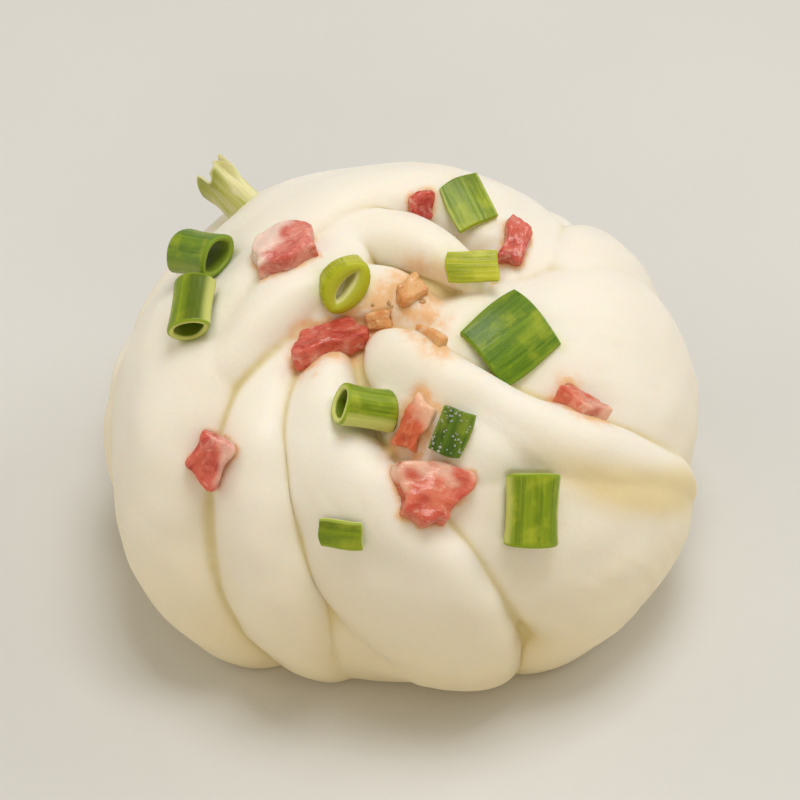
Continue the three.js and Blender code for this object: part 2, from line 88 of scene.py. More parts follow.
FRONT_FOLDS = [
    dict(  # the sheet that sweeps around the back and down the left side
        path=[(0, 26), (24, 31), (50, 34), (80, 34), (108, 33), (134, 34), (156, 38), (175, 45), (190, 55),
              (201, 69), (207, 86), (211, 106), (213, 128)],
        widths=[7, 9.5, 11, 12, 12.5, 13, 14, 15, 15.5, 15, 13],
        heights=[3.5, 4.8, 5.4, 5.4, 5.6, 6, 7, 8, 8, 7, 6], roll=[0, 2, 4, 4],
        sink=[4.6, 3.2, 2.5, 3.1, 4.3, 4.6, 4.6]),
    dict(  # the sheet's inner shoulder
        path=[(118, 22), (146, 18), (172, 19), (185, 26), (195, 38), (201, 52), (205, 67), (208, 84),
              (211, 100)],
        widths=[4, 6.5, 7.5, 8, 8.2, 8, 7, 6, 5], heights=[3, 4.2, 4.6, 5, 5.2, 5.2, 5, 4.6, 4],
        roll=[4, 12, 12, 8], sink=[4, 3.6, 3, 3, 3.2, 3.8], lean=0.25, short=True),
    dict(  # the rolled lip over the eye
        path=[(192, 34), (178, 25), (160, 19), (134, 15), (96, 10), (40, 9), (4, 13), (350, 18)],
        widths=[3, 4.2, 4.4, 4, 3.8, 3.4, 2.2], heights=[2.6, 3.6, 3.8, 3.8, 3.6, 3, 2.2],
        roll=[0], sink=[2.8, 2.4, 2, 2], lean=0, short=True),
    dict(  # the layer inside the lip
        path=[(210, 26), (200, 15), (225, 6), (290, 8), (308, 15)],
        widths=[3, 4.6, 4.6, 4, 2.5], heights=[3, 4, 4, 3.6, 2.5],
        roll=[0], sink=[4.4, 5, 5.4], lean=0, short=True),
    dict(  # the first narrow fold at the front left
        path=[(214, 18), (212.5, 29), (215.5, 39), (220.5, 50), (226, 61), (233, 77), (239, 98),
              (243, 124)],
        widths=[2.5, 5.2, 8, 10, 10.4, 9.2, 7.5], heights=[3.5, 4.5, 5.2, 5.8, 6, 5, 4], roll=[12],
        sink=[6.4, 5.8, 5.1, 4.9, 4.9]),
    dict(  # the second one, whose lip runs to the front
        path=[(233, 22), (237, 32), (243, 42), (251.5, 53), (262, 65), (272, 80), (278.5, 100), (282, 126)],
        widths=[3, 6, 8.4, 10.4, 11.2, 10.6, 10], heights=[3.5, 4.4, 5, 5.6, 5.6, 5, 4], roll=[13],
        sink=[5.4, 4.6, 4.2, 4.2, 4.2]),
    dict(  # the broad lobe at the front right
        path=[(264, 36), (275, 46), (287, 56), (299, 67), (311, 79), (320, 92), (325, 108), (327, 128)],
        widths=[4, 7.5, 10.5, 12.8, 14.8, 16.5, 17, 15], heights=[3.5, 5.5, 6.8, 8, 9, 9, 8, 6],
        roll=[0], sink=[6.4, 6.4, 6, 5, 4.4], lean=0),
    dict(  # the raised ridge from the eye to the right
        path=[(252, 18), (270, 24), (287, 33), (303, 45.5), (317, 61.5), (328.5, 77), (338.5, 93),
              (345, 112), (348, 134)],
        widths=[3.6, 5.8, 6.8, 7.6, 8, 7.4, 6.5], heights=[3.6, 4.6, 4.8, 5.2, 5.4, 5, 4],
        roll=[14], sink=[3.2, 3.2, 3.6, 3.8], lean=0.25),
    dict(  # the slope that joins the ridge to the front lobe
        path=[(262, 28), (281, 38), (296, 47.5), (308, 57)],
        widths=[3.5, 7, 7.6, 4], heights=[3.2, 5, 5.4, 3.4], roll=[6], sink=[4.2], lean=0, short=True),
    dict(  # the broad lobe on the right
        path=[(290, 8), (318, 19), (339, 33), (352, 48), (359, 66), (361, 88), (361, 112), (362, 134)],
        widths=[5, 9.5, 13, 15.5, 16, 15, 13], heights=[4, 5.5, 7, 8.6, 8.6, 7.6, 6], roll=[2],
        sink=[7.2, 7.2, 6.6, 7.8, 9.6], lean=0.15),
    dict(  # the small lobe behind it
        path=[(6, 33), (15.5, 41), (22.5, 52), (27, 68), (29, 90), (30, 112), (31, 134)],
        widths=[4, 7.4, 9.4, 10.4, 10, 9, 8], heights=[3.5, 5.5, 7, 7.5, 7, 6, 5],
        roll=[5], sink=[4.6], lean=0.15),
]

# The far side's folds: where each starts and ends, the polar angle where it starts and its half width.
BACK_FOLDS = [(32, 64, 50, 9.5), (44, 96, 72, 9.5), (40, 126, 60, 10), (36, 161, 48, 11),
              (146, 186, 60, 9.5)]
BACK_POINTS = 7
BACK_WIDTHS = (0.42, 0.8, 1.0, 1.0, 0.85)
BACK_HEIGHTS = (3, 5, 6.4, 6.2, 4.8)
BACK_SINK = (6.5, 5.4, 5.2)
BACK_ROLL = 9
BACK_STEEPNESS = 1.2  # how suddenly such a fold turns down
BACK_SWEEP_TURN = 150  # sideways sweep that adds one to it

# ------------ filling

# at: (azimuth, elevation) from the dome's centre. nod leans a piece towards -Y, turn is its angle in its
# own plane, lift raises it. squash: how flat a slice is pressed, slit: how much flatter its hole is, frill:
# how ragged its far end is, dusk: how dark one side is, a painted shade. taper: how
# much wider a dice's far side is, fat: which side is paler, the fat of most dice and a painted
# light on the upper part of the large coral one. stain: how far the piece colours the dough around it, in
# mm.
SCALLIONS = [
    dict(kind="tube", at=(170.5, 46.3), nod=10, turn=-50, length=8.6, radius=3.2, squash=0.75, lift=0.4,
         look="mid"),
    dict(kind="tube", at=(193, 45), turn=84, length=8, radius=3, squash=0.8, dusk=0.85, look="fresh"),
    dict(kind="ring", at=(199.5, 75.2), nod=34, turn=-22, length=4, radius=4.1, squash=0.72, wall=1.9,
         slit=0.34, look="lime", stain=1.3),
    dict(kind="leaf", at=(53, 64), turn=-66, length=7.6, width=6.2, look="fresh"),
    dict(kind="leaf", at=(354, 73), nod=10, turn=4, length=7.2, width=4.4, look="lime", stain=2.2),
    dict(kind="leaf", at=(327, 56.5), turn=42, length=11, width=10.3, look="mid", stain=1.3),
    dict(kind="tube", at=(255.5, 46.5), turn=12, length=7.6, radius=2.9, squash=0.85, lift=0.6,
         look="fresh"),
    dict(kind="leaf", at=(285, 43), turn=70, length=6.4, width=4.6, look="dark"),
    dict(kind="tube", at=(299, 24.2), turn=88, length=9.4, radius=3.8, squash=0.55, look="fresh"),
    dict(kind="leaf", at=(258, 24), turn=5, length=6.2, width=4, look="fresh"),
    dict(kind="ring", at=(133, 32.5), turn=30, length=8, radius=3.9, squash=0.62, frill=0.9,
         look="stem"),
    dict(kind="leaf", at=(108, 16), turn=30, length=9, width=6.5, look="mid"),
    dict(kind="tube", at=(66, 2), turn=65, length=8, radius=2.9, squash=0.8, look="fresh"),
    dict(kind="leaf", at=(30, -4), turn=60, length=8, width=6, look="mid"),
]
HAM = [
    dict(at=(176, 64.2), turn=20, size=(8.8, 7, 4.2), taper=-0.12, look="pink", fat=(-0.9, 0.9, 0.5)),
    dict(at=(75.5, 68.7), turn=10, size=(3.6, 4.2, 3), look="red"),
    dict(at=(23, 59.5), turn=74, size=(7.2, 3.7, 3.4), taper=0.15, look="red"),
    dict(at=(286, 81), turn=40, size=(4.8, 3.6, 3), look="peach", stain=3),
    dict(at=(229.5, 61.5), turn=16, size=(10, 5.3, 3.8), taper=-0.1, look="red", stain=1.6),
    dict(at=(286, 65), turn=-35, size=(5, 2.2, 2.4), look="peach", stain=2.2),
    dict(at=(325, 35.5), turn=-28, size=(7.2, 4.4, 3.2), taper=0.2, look="coral",
         stain=1.3, fat=(0.55, -0.2, 0)),
    dict(at=(275, 45.8), turn=62, size=(8, 3.8, 3.2), taper=0.12, look="salmon",
         stain=1.6, fat=(0.7, -0.6, 0)),
    # on this dice the paler side is a painted light on its upper part
    dict(at=(276.5, 31), turn=-6, size=(9.4, 8.6, 4.4), taper=0.32, look="coral", fat=(-0.2, 0.75, 0.1)),
    dict(at=(223, 27.5), turn=60, size=(6.8, 5.2, 4), look="red", fat=(0.45, -0.75, 0.2)),
    dict(at=(140, 0), turn=25, size=(6.6, 5.4, 4), look="red"),
    dict(at=(84, 14), turn=70, size=(6, 4.6, 3.6), look="pink"),
    dict(at=(46, 0), turn=15, size=(7, 5, 4), look="red"),
    dict(at=(250, 74.6), turn=12, size=(4, 2.6, 2.6), look="peach", stain=3),
]
SCALLION_STAIN, HAM_STAIN = 0.8, 0.6  # the stain where a row doesn't say
# Where oil has soaked into the dough: a direction, how far it spreads in mm and how strong it is.
STAINS = [((300, 84), 4, 1.1), ((262, 81), 3.4, 1.1), ((300, 73), 2.6, 1), ((250, 68), 2.4, 0.8),
          ((231, 57), 1.4, 0.9), ((236, 53), 0.9, 0.5), ((15, 66), 2.2, 0.6), ((340, 70), 2, 0.5),
          ((268, 39), 2, 0.6), ((330, 43), 1.8, 0.4), ((64, 60), 1.6, 0.5)]
# Painted shade in the hollow under the ridge, darker and yellower: azimuth, elevation and strength along
# it.
HOLLOW_SHADE = [(304, 34, 0.3), (312, 27, 0.7), (318, 21, 1), (328, 13, 1.2), (338, 5, 1.2), (346, -3, 0.6)]
HOLLOW_SHADE_REACH, HOLLOW_SHADE_STEPS = 3.6, 48

# ------------ small helpers

WAVE_COUNT, WAVE_SPREAD = 14, (0.7, 1.4)  # waves in a field, and how their frequencies differ


def directions(path):
    """Unit vectors towards (azimuth, polar) pairs."""
    azimuth, polar = np.radians(np.array(path, float)).T
    return np.stack([np.sin(polar) * np.cos(azimuth), np.sin(polar) * np.sin(azimuth), np.cos(polar)], -1)


def unit(vectors):
    return vectors / np.linalg.norm(vectors, axis=-1, keepdims=True)


def spread(values, t):
    """A smooth run through evenly spaced numbers or vectors, at each t from 0 to 1."""
    values = np.array(values, float)
    if len(values) == 1:
        return np.repeat(values, len(t), axis=0)
    knots = np.concatenate([[2 * values[0] - values[1]], values, [2 * values[-1] - values[-2]]])
    reach = np.clip(t * (len(values) - 1), 0, len(values) - 1 - 1e-9)
    i = reach.astype(int)
    f = reach - i
    if values.ndim > 1:
        f = f[:, None]
    a, b, c, d = (knots[i + k] for k in range(4))
    slope = (c - a) * f
    bend = (2 * a - 5 * b + 4 * c - d) * f ** 2
    twist = (3 * b - a - 3 * c + d) * f ** 3
    return 0.5 * (2 * b + slope + bend + twist)


def sine_power(angle, power):
    """A sine wave, flatter at its tops where the power is under 1."""
    sine = np.sin(angle)
    return np.sign(sine) * np.abs(sine) ** power


def smoothstep(x, low, high):
    t = np.clip((x - low) / (high - low), 0, 1)
    return t * t * (3 - 2 * t)


def on_dome(towards, depth):
    """Points some way under the plain dome's surface, and its normals there."""
    towards = unit(towards)
    half_height = np.where(towards[:, 2] > 0, BUN_HEIGHT - EQUATOR_HEIGHT, UNDER_DEPTH)
    half = np.column_stack(np.broadcast_arrays(BUN_WIDTH / 2, BUN_DEPTH / 2, half_height))
    normal = unit(towards / half)
    centre = np.array([0, 0, EQUATOR_HEIGHT])
    return towards * half + centre - normal * np.asarray(depth)[..., None], normal


def waves(points, wavelength, seed):
    """A smooth random field of about unit size, a sum of plane waves."""
    random = np.random.default_rng(seed)
    heading = unit(random.normal(size=(WAVE_COUNT, 3)))
    scale = 2 * np.pi / wavelength * random.uniform(*WAVE_SPREAD, WAVE_COUNT)
    phase = random.uniform(0, 2 * np.pi, WAVE_COUNT)
    return np.sin(points @ (heading * scale[:, None]).T + phase).sum(1) / math.sqrt(WAVE_COUNT / 2)


def grid_faces(rows, columns, wrap_rows=False):
    """Quads of a grid whose columns close on themselves, and its rows where they wrap."""
    r = np.arange(rows if wrap_rows else rows - 1)[:, None]
    c = np.arange(columns)[None, :]
    r2 = (r + 1) % rows
    c2 = (c + 1) % columns
    quads = np.stack([r * columns + c, r * columns + c2, r2 * columns + c2, r2 * columns + c], -1)
    return quads.reshape(-1, 4)


def new_object(name, data):
    thing = bpy.data.objects.new(name, data)
    scene.collection.objects.link(thing)
    return thing


def mesh_object(name, points, faces):
    """An object from points in mm."""
    mesh = bpy.data.meshes.new(name)
    mesh.from_pydata([tuple(p) for p in np.asarray(points) * MM], [], [tuple(f) for f in faces])
    mesh.validate()
    return new_object(name, mesh)


def rows_of(items, field, width, kind):
    """A field of a mesh's vertices or edges, as rows of numbers."""
    flat = np.empty(len(items) * width, dtype=kind)
    items.foreach_get(field, flat)
    return flat.reshape(-1, width)


def vertex_points(mesh):
    return rows_of(mesh.vertices, "co", 3, float) / MM


def vertex_normals(mesh):
    return rows_of(mesh.vertex_normals, "vector", 3, np.float32).astype(float)


def merged(parts):
    """The points and faces of several meshes as one."""
    points, faces, total = [], [], 0
    for part, own_faces in parts:
        points.append(part)
        faces += [tuple(i + total for i in face) for face in own_faces]
        total += len(part)
    return np.vstack(points), faces


def surface_tree(mesh, points):
    """A tree of the mesh's faces, in the unit of the points."""
    return BVHTree.FromPolygons([tuple(p) for p in points], [tuple(f.vertices) for f in mesh.polygons])


def set_points(mesh, points):
    mesh.vertices.foreach_set("co", (points * MM).ravel())
    mesh.update()


def store(mesh, name, values):
    """Keeps a number, or a vector, for each vertex, for the material to read."""
    kind = "FLOAT" if values.ndim == 1 else "FLOAT_VECTOR"
    field = "value" if values.ndim == 1 else "vector"
    attribute = mesh.attributes.new(name, kind, "POINT")
    attribute.data.foreach_set(field, values.astype(np.float32).ravel())


def smoothed(points, edges, rounds):
    """Each round moves every vertex to the middle of itself and its neighbours."""
    count = len(points)
    a, b = edges.T
    degree = np.bincount(a, minlength=count) + np.bincount(b, minlength=count) + 1.0
    for _ in range(rounds):
        total = points.copy()
        for k in range(points.shape[1]):
            total[:, k] += np.bincount(a, points[b, k], count) + np.bincount(b, points[a, k], count)
        points = total / degree[:, None]
    return points


# ------------ dough

SWELLS = [(0.30, 26, 3), (0.10, 9, 4)]  # height, wavelength and seed
WRINKLE_HEIGHT, WRINKLE_WIDTH = 0.022, 2.6
WRINKLE_STRETCH = 9  # how much longer than wide a wrinkle is
WRINKLE_PATCH = 16  # size of the patches where they are strong
KNEAD_FADE = (0.5, 6)  # heights between which it sets in
CREASE_ROUNDS, VALLEY_ROUNDS = 10, 110  # smoothing that brings them out
CREASE_DEPTHS, VALLEY_DEPTHS = (0.010, 0.20), (0.0, 1.8)  # mm where each starts and is full
SOFTEN_ROUNDS = 6


def back_fold(start, end, polar, half_width):
    """A fold of the far side, which turns down more and more."""
    t = np.arange(BACK_POINTS) / BACK_POINTS
    steepness = BACK_STEEPNESS + (end - start) / BACK_SWEEP_TURN
    azimuth = start + (end - start) * np.sin(t * np.pi / 2)
    polars = polar + (FOOT_POLAR - polar) * t ** steepness
    return dict(path=list(zip(azimuth, polars)), widths=[share * half_width for share in BACK_WIDTHS],
                heights=BACK_HEIGHTS, roll=[BACK_ROLL], sink=BACK_SINK)


def fold_surface(fold):
    """One fold's points, its faces, and each point's place along and across it in mm."""
    path = fold["path"] if fold.get("short") else fold["path"] + [(fold["path"][-1][0] + 1, FOOT_POLAR)]
    t = np.linspace(0, 1, FOLD_ALONG + 1)
    middle, normal = on_dome(spread(directions(path), t), spread(fold["sink"], t))
    tangent = unit(np.gradient(middle, axis=0))
    left = unit(np.cross(normal, tangent))
    back = np.cross(tangent, left)
    roll = np.radians(spread(fold["roll"], t))[:, None]
    left, back = left * np.cos(roll) + back * np.sin(roll), back * np.cos(roll) - left * np.sin(roll)
    near_end = np.maximum(0, 1 - np.minimum(t / FOLD_TIP, (1 - t) / FOLD_TAIL))
    taper = np.sqrt(1 - near_end ** 2)
    phi = np.linspace(0, 2 * np.pi, FOLD_AROUND, endpoint=False)
    across = np.cos(phi)
    up = sine_power(phi, FOLD_FLATNESS) * (1 + fold.get("lean", FOLD_LEAN) * across)
    width = ((spread(fold["widths"], t) - SKIN) * taper)[:, None] * across
    height = ((spread(fold["heights"], t) - SKIN) * taper)[:, None] * up
    rings = middle[:, None] + left[:, None] * width[..., None] + back[:, None] * height[..., None]
    length = np.concatenate([[0], np.cumsum(np.linalg.norm(np.diff(middle, axis=0), axis=1))])
    place = np.stack([np.broadcast_to(length[:, None], width.shape), width], -1)
    return rings.reshape(-1, 3), grid_faces(FOLD_ALONG + 1, FOLD_AROUND), place.reshape(-1, 2)


def core_surface():
    """The plain core that the folds lie on. Its last two points are its poles."""
    polar = np.linspace(0, 180, CORE_DOWN + 1)[1:-1]
    azimuth = np.linspace(0, 360, CORE_AROUND, endpoint=False)
    grid = np.stack(np.broadcast_arrays(azimuth[None, :], polar[:, None]), -1).reshape(-1, 2)
    depth = SKIN + CORE_DEPTH + (CORE_LOW_DEPTH - CORE_DEPTH) * smoothstep(grid[:, 1], *CORE_FADE)
    points, _ = on_dome(directions(grid), depth)
    poles, _ = on_dome(np.array([[0, 0, 1.0], [0, 0, -1.0]]), np.array([CORE_DEPTH, CORE_LOW_DEPTH]))
    faces = list(grid_faces(CORE_DOWN - 1, CORE_AROUND)[:, ::-1])
    top, last = len(points), (CORE_DOWN - 2) * CORE_AROUND
    for i in range(CORE_AROUND):
        j = (i + 1) % CORE_AROUND
        faces += [(top, i, j), (top + 1, last + j, last + i)]
    return np.vstack([points, poles]), faces


def close_ends(faces, rings, columns):
    """Adds the first and last ring of a fold as faces."""
    first = tuple(range(columns))
    last = tuple(range((rings - 1) * columns, rings * columns))
    return list(faces) + [first[::-1], last]


def merged_dough():
    """Every fold and the core as one skin, and where each fold's surface runs."""
    folds = [fold_surface(fold) for fold in FRONT_FOLDS + [back_fold(*row) for row in BACK_FOLDS]]
    parts = [(rings, close_ends(quads, FOLD_ALONG + 1, FOLD_AROUND)) for rings, quads, _ in folds]
    rough = mesh_object("dough_folds", *merged(parts + [core_surface()]))
    remesh = rough.modifiers.new("skin", "REMESH")
    remesh.mode = "VOXEL"
    remesh.voxel_size = VOXEL * MM
    graph = bpy.context.evaluated_depsgraph_get()
    skin = bpy.data.meshes.new_from_object(rough.evaluated_get(graph))
    bpy.data.objects.remove(rough)
    return skin, np.vstack([np.column_stack([rings, place]) for rings, _, place in folds])


def fold_places(points, places):
    """For each point, how far along and across the nearest fold it lies."""
    tree = KDTree(len(places))
    for i, row in enumerate(places):
        tree.insert(row[:3], i)
    tree.balance()
    nearest = [tree.find(p)[1] for p in points]
    return places[nearest, 3:5]


def flat_foot(points):
    """Everything under the foot's level comes up to it, with a soft edge."""
    z = points[:, 2]
    eased = (z + FOOT_EDGE) ** 2 / (4 * FOOT_EDGE)
    points[:, 2] = np.where(z < -FOOT_EDGE, 0, np.where(z < FOOT_EDGE, eased, z))
    return points


def knead(points, normals, places):
    """Adds slow swells, and fine wrinkles along the folds."""
    swell = sum(height * waves(points, wavelength, seed) for height, wavelength, seed in SWELLS)
    along, across = places.T
    stretched = np.column_stack([along / WRINKLE_STRETCH, across, np.zeros(len(along))])
    patches = smoothstep(waves(points, WRINKLE_PATCH, seed=6), -0.2, 1.2)
    wrinkle = waves(stretched, WRINKLE_WIDTH, seed=5) * (0.4 + 0.6 * patches)
    above_foot = smoothstep(points[:, 2], *KNEAD_FADE)
    return points + normals * ((swell + WRINKLE_HEIGHT * wrinkle) * above_foot)[:, None]


def hollows(skin, edges):
    """How deep each vertex lies in a crease, and in a broad valley, from 0 to 1; the material paints shade
    by both.
    """
    points, normals = vertex_points(skin), vertex_normals(skin)
    near = smoothed(points, edges, CREASE_ROUNDS)
    far = smoothed(near, edges, VALLEY_ROUNDS)
    crease = smoothstep(np.einsum("ij,ij->i", near - points, normals), *CREASE_DEPTHS)
    valley_shade = smoothstep(np.einsum("ij,ij->i", far - points, normals), *VALLEY_DEPTHS)
    both = smoothed(np.column_stack([crease, valley_shade]), edges, SOFTEN_ROUNDS)
    store(skin, "crease", both[:, 0])
    store(skin, "valley_shade", both[:, 1])
    return both[:, 0]


def make_dough():
    """The dough's mesh, and each vertex's place along and across its fold."""
    skin, places = merged_dough()
    edges = rows_of(skin.edges, "vertices", 2, np.int64)
    points = smoothed(vertex_points(skin), edges, SMOOTH_ROUNDS)
    set_points(skin, points)
    crease = hollows(skin, edges)
    heading = unit(smoothed(vertex_normals(skin), edges, HEADING_ROUNDS))
    points = flat_foot(points + heading * SKIN)
    set_points(skin, points)
    place = smoothed(fold_places(points, places), edges, PLACE_ROUNDS)
    points = knead(points, vertex_normals(skin), place)
    points += (smoothed(points, edges, EASE_ROUNDS) - points) * crease[:, None]
    points[:, 2] = np.maximum(points[:, 2], 0)
    set_points(skin, points)
    skin.shade_smooth()
    return skin, place


# ------------ pieces of filling


def seat_on(tree, piece):
    """A piece's matrix on the dough, from rays cast at the dough around its middle."""
    azimuth, elevation = piece["at"]
    outward = Vector(directions([(azimuth, 90 - elevation)])[0])
    across = Vector((0, 0, 1)).cross(outward).normalized()
    upward = outward.cross(across)
    sides = piece.get("size") or (piece["length"], piece.get("width") or 2 * piece["radius"])
    reach = min(sides[:2]) * SEAT_REACH
    hits = []
    for i in range(PROBE_COUNT):
        angle = 2 * math.pi * i / PROBE_COUNT
        offset = across * math.cos(angle) + upward * math.sin(angle)
        start = Vector((0, 0, EQUATOR_HEIGHT)) + outward * PROBE_START + offset * reach
        hits.append(tree.ray_cast(start * MM, -outward)[0] / MM)
    middle = sum(hits, Vector()) / PROBE_COUNT
    normal = Vector()
    for hit, following in zip(hits, hits[1:] + hits[:1]):
        normal += (hit - middle).cross(following - middle)
    normal.normalize()
    right = (Vector((1, 0, 0)) - normal * normal.x).normalized()
    away = normal.cross(right)
    rest = {"leaf": LEAF_LIFT, "tube": -TUBE_SINK}.get(piece.get("kind"), -DICE_SINK)
    middle += normal * (rest + piece.get("lift", 0))
    basis = Matrix((right, away, normal)).transposed().to_4x4()
    nod = Matrix.Rotation(math.radians(piece.get("nod", 0)), 4, "X")
    turn = Matrix.Rotation(math.radians(piece["turn"]), 4, "Z")
    return Matrix.Translation(middle) @ basis @ (nod @ turn)


def placed(points, seat):
    seat = np.array(seat)
    return points @ seat[:3, :3].T + seat[:3, 3]


SLICE_AROUND, SLICE_STEP = 120, 0.5  # points around, and mm between them along the wall
SLICE_CORNER = 0.45  # radius of its cut edges, as a share of the wall
SLICE_OVAL, SLICE_TRIANGLE = 0.05, 0.04  # how far out of round, as shares of its radius
SLICE_FLARE, SLICE_SLANT = 0.07, 0.35  # how much wider its ends are, and how far off square
SLICE_LENS = 1.2  # above 1 brings its sides to a soft point
SLICE_VEINS, VEINS_AROUND = 0.02, 26
FRILL_OUT, FRILL_ALONG = (0.16, 0.09), (0.9, 0.5)  # coarse and fine raggedness of a torn end


def wall_outline(wall, half):
    """The outline of a slice's wall, cut lengthwise: how far out and how far along it lies."""
    corner = wall * SLICE_CORNER
    outline = []
    for radial, axial, start in [(1, 1, 90), (1, -1, 0), (-1, -1, -90), (-1, 1, -180)]:
        centre = np.array([radial * (wall / 2 - corner), axial * (half - corner)])
        for k in range(4):
            angle = math.radians(start - 30 * k)
            outline.append(centre + corner * np.array([math.cos(angle), math.sin(angle)]))
    dense = []
    for a, b in zip(outline, outline[1:] + outline[:1]):
        steps = max(1, int(np.linalg.norm(b - a) / SLICE_STEP))
        dense += [a + (b - a) * k / steps for k in range(steps)]
    return np.array(dense).T


def slice_points(piece, seed):
    """A hollow slice of scallion along +X, pressed a little flat."""
    wall = piece.get("wall", LEAF_THICKNESS)
    half = piece["length"] / 2
    radial, axial = wall_outline(wall, half)
    count = len(radial)
    around = np.linspace(0, 2 * np.pi, SLICE_AROUND, endpoint=False)
    theta, radial = np.meshgrid(around, radial, indexing="ij")
    axial = np.broadcast_to(axial, theta.shape)
    a, b, c = np.random.default_rng(seed).uniform(0, 2 * np.pi, 3)
    roundness = 1 + SLICE_OVAL * np.cos(2 * theta + a) + SLICE_TRIANGLE * np.cos(3 * theta + b)
    radius = (piece["radius"] - wall / 2) * roundness + radial
    frill_out = FRILL_OUT[0] * np.cos(5 * theta + a) + FRILL_OUT[1] * np.cos(9 * theta + b)
    frill_along = FRILL_ALONG[0] * np.cos(5 * theta + a + 0.6) + FRILL_ALONG[1] * np.cos(8 * theta + c)
    open_end = smoothstep(axial / half, -0.2, 1.0) * piece.get("frill", 0)
    flare = 1 + SLICE_FLARE * (axial / half) ** 2 + open_end * frill_out
    cut = SLICE_SLANT * np.cos(theta + c) * np.sign(axial) * np.abs(axial / half) - open_end * frill_along
    veins = SLICE_VEINS * np.cos(VEINS_AROUND * theta + 3 * np.sin(theta + a)) * (radial > 0)
    depth = 0.5 - radial / wall
    narrowing = 1 + (piece.get("slit", 1) - 1) * depth
    y = (radius * flare + veins) * np.cos(theta)
    z = (radius * flare + veins) * sine_power(theta, SLICE_LENS) * piece["squash"] * narrowing
    points = np.stack([axial + cut, y, z], -1).reshape(-1, 3)
    stored = {
        "depth": depth.ravel(),
        "cut": smoothstep(np.abs(axial) / half, 0.87, 0.97).ravel(),
        "side": smoothstep(np.abs(np.cos(theta)), 0.72, 0.97).ravel(),
        # painted shade darkens one side of the slice; a frilled end turns its real green
        "dusk": (smoothstep(-np.cos(theta), -0.25, 0.35) * piece.get("dusk", 0) + open_end ** 2).ravel(),
        "grain": np.stack([axial, theta * piece["radius"], radial], -1).reshape(-1, 3),
    }
    return points, grid_faces(SLICE_AROUND, count, wrap_rows=True), stored


def tube(piece, seed):
    points, faces, stored = slice_points(piece, seed)
    return points + [0, 0, piece["radius"] * piece["squash"]], faces, stored


def ring(piece, seed):
    points, faces, stored = slice_points(piece, seed)
    upright = np.stack([-points[:, 2], points[:, 1], points[:, 0] + piece["length"] / 2], -1)
    return upright, faces, stored


def closed_plate(columns, rows):
    """Faces of two grids of points, one over the other, joined around their edge."""
    index = np.arange(columns * rows).reshape(columns, rows)
    a, b, c, d = index[:-1, :-1], index[1:, :-1], index[1:, 1:], index[:-1, 1:]
    top = np.stack([a, b, c, d], -1).reshape(-1, 4)
    under = top[:, ::-1] + columns * rows
    rim = np.concatenate([index[:, 0], index[-1, 1:], index[-2::-1, -1], index[0, -2:0:-1]])
    rim2 = np.roll(rim, -1)
    wall = np.stack([rim2, rim, rim + columns * rows, rim2 + columns * rows], -1)
    return np.vstack([top, under, wall])


LEAF_GRID = (64, 52)  # points along and across a leaf
LEAF_ROUNDING, LEAF_SKEW = 0.05, 0.12  # of its corners, and out of square
LEAF_RIPPLES = (0.12, 0.10)  # how wavy its cut ends and sides are
LEAF_VEINS, LEAF_BOW = 0.012, 0.25  # the bow is for every 10 mm of its length
LEAF_EDGE = (0.93, 1.04)  # shares of the way out between which it thins


def leaf(piece, seed):
    """A flat cut piece of scallion, curved across like the wall it was cut from."""
    columns, rows = LEAF_GRID
    length, width = piece["length"], piece["width"]
    u, v = np.meshgrid(np.linspace(-1, 1, columns), np.linspace(-1, 1, rows), indexing="ij")
    random = np.random.default_rng(seed)
    a, b, c = random.uniform(0, 2 * np.pi, 3)
    skew = random.uniform(-LEAF_SKEW, LEAF_SKEW)
    corner = 1 - LEAF_ROUNDING * (u * v) ** 2
    x = u * corner * length / 2 + skew * v * width / 2 + LEAF_RIPPLES[0] * np.sin(3 * v + a)
    y = v * corner * width / 2 + LEAF_RIPPLES[1] * np.sin(2.4 * u + b)
    edge = np.maximum(np.abs(u), np.abs(v))
    thickness = LEAF_THICKNESS * np.sqrt(np.clip(1 - smoothstep(edge, *LEAF_EDGE) ** 2, 0.05, 1))
    veins = LEAF_VEINS * np.cos(y * 8.5 + 0.6 * np.sin(x * 0.5 + c))
    bow = LEAF_BOW * np.cos(u * 1.6 + a) * length / 10
    points = []
    for side in (1, -1):
        radius = LEAF_BEND + (side * thickness / 2 + veins * (side > 0) + bow)
        height = radius * np.cos(y / LEAF_BEND) - LEAF_BEND + LEAF_THICKNESS
        points.append(np.stack([x, radius * np.sin(y / LEAF_BEND), height], -1).reshape(-1, 3))

    def both_sides(values):
        return np.tile(values.ravel(), 2)

    stored = {
        "depth": np.repeat([0.0, 1.0], columns * rows),
        "cut": both_sides(smoothstep(edge, 0.95, 1.0)),
        "side": both_sides(smoothstep(np.abs(v), 0.80, 1.0)) * 0.6,
        # painted shade darkens one side of the leaf
        "dusk": both_sides(smoothstep(v * math.cos(a) + u * math.sin(a), 0.1, 1.0)) * 0.4,
        "grain": np.stack([both_sides(x), both_sides(y), np.repeat([0.5, -0.5], columns * rows)], -1),
    }
    return np.concatenate(points), closed_plate(columns, rows), stored


def cube_sphere(cells):
    """Points on a cube from -1 to 1 and its quads, every face a grid of cells."""
    numbers, faces = {}, []
    for axis, side, i, j in product(range(3), (0, cells), range(cells), range(cells)):
        quad = []
        for di, dj in ((0, 0), (1, 0), (1, 1), (0, 1)):
            place = (side, i + di, j + dj)
            quad.append(numbers.setdefault(place[-axis:] + place[:-axis], len(numbers)))
        faces.append(tuple(quad if side else quad[::-1]))
    return np.array(list(numbers)) / cells * 2 - 1, faces


